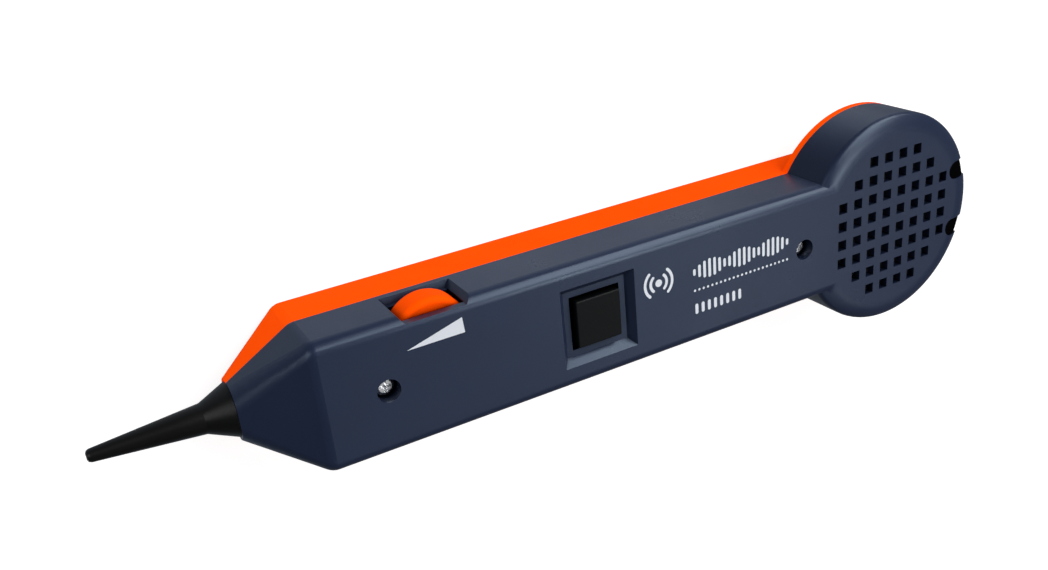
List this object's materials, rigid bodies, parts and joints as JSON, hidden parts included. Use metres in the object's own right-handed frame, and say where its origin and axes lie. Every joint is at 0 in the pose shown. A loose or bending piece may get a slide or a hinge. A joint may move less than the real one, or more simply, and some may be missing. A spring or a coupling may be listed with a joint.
{
  "type": "tone probe",
  "caption": "Hand-held tone probe: tapered nose with a slender black tip, thumbwheel, push button and a round head with a speaker grille.",
  "frame": {"origin": "middle of the bounding box's lower face; the probe lies on its flat back", "axes": "+X from the probe tip to the round head, +Y towards the volume wheel, +Z out of the front face"},
  "size_m": [0.235, 0.0576, 0.0276],
  "materials": {
    "navy_plastic": "satin moulded",
    "orange_plastic": "satin moulded",
    "tip_plastic": "satin moulded",
    "button_plastic": "satin moulded",
    "steel": "plated",
    "brass": "plain",
    "board": "solder mask over glass laminate",
    "component_plastic": "moulded",
    "can_sleeve": "shrink sleeve",
    "ceramic": "dipped",
    "resistor_body": "lacquered",
    "battery_case": "painted metal jacket",
    "foam": "open-cell foam",
    "magnet": "sintered ferrite",
    "paper": "pressed paper",
    "rubber_roll": "thin roll",
    "red_insulation": "smooth",
    "black_insulation": "smooth",
    "grey_insulation": "smooth",
    "copper": "enamelled wire"
  },
  "bodies": {
    "case": {"front_shell": "navy_plastic", "rear_shell": "orange_plastic", "case_screws": "steel", "probe_tip": "tip_plastic", "tip_insert": "brass", "tip_wire": "grey_insulation", "circuit_board": "board", "board_screws": "steel", "amplifier_chip": "component_plastic", "electrolytic_capacitors": "can_sleeve", "ceramic_capacitors": "ceramic", "resistors": "resistor_body", "transistors": "component_plastic", "button_spring": "steel", "switch_housing": "component_plastic", "potentiometer_body": "steel", "battery": "battery_case", "battery_terminals": "steel", "battery_snap": "component_plastic", "battery_pad": "foam", "battery_wire_red": "red_insulation", "battery_wire_black": "black_insulation", "speaker_gasket": "foam", "speaker_frame": "steel", "speaker_magnet": "magnet", "speaker_yoke": "steel", "speaker_top_plate": "steel", "speaker_surround": "rubber_roll", "speaker_clips": "steel", "speaker_screws": "steel", "speaker_wires": "grey_insulation", "terminal_block": "component_plastic", "handset_terminals": "brass", "handset_wires": "grey_insulation"},
    "button": {"push_button": "button_plastic", "switch_plunger": "component_plastic"},
    "volume": {"volume_wheel": "orange_plastic", "wheel_screw": "steel", "potentiometer_shaft": "brass"},
    "cone": {"speaker_cone": "paper", "voice_coil": "copper", "dust_cap": "paper"}
  },
  "joints": [
    {"name": "button_press", "type": "slide", "parent": "case", "child": "button", "axis": [0, 0, -1], "range_m": [0, 0.0015], "deforming": ["button_spring"]},
    {"name": "volume_turn", "type": "hinge", "parent": "case", "child": "volume", "pos_m": [-0.0446, 0.0074, 0.0176], "axis": [0, 0, 1], "range_deg": [-135, 135]},
    {"name": "cone_throw", "type": "slide", "parent": "case", "child": "cone", "axis": [0, 0, 1], "range_m": [-0.0003, 0.0003]}
  ]
}
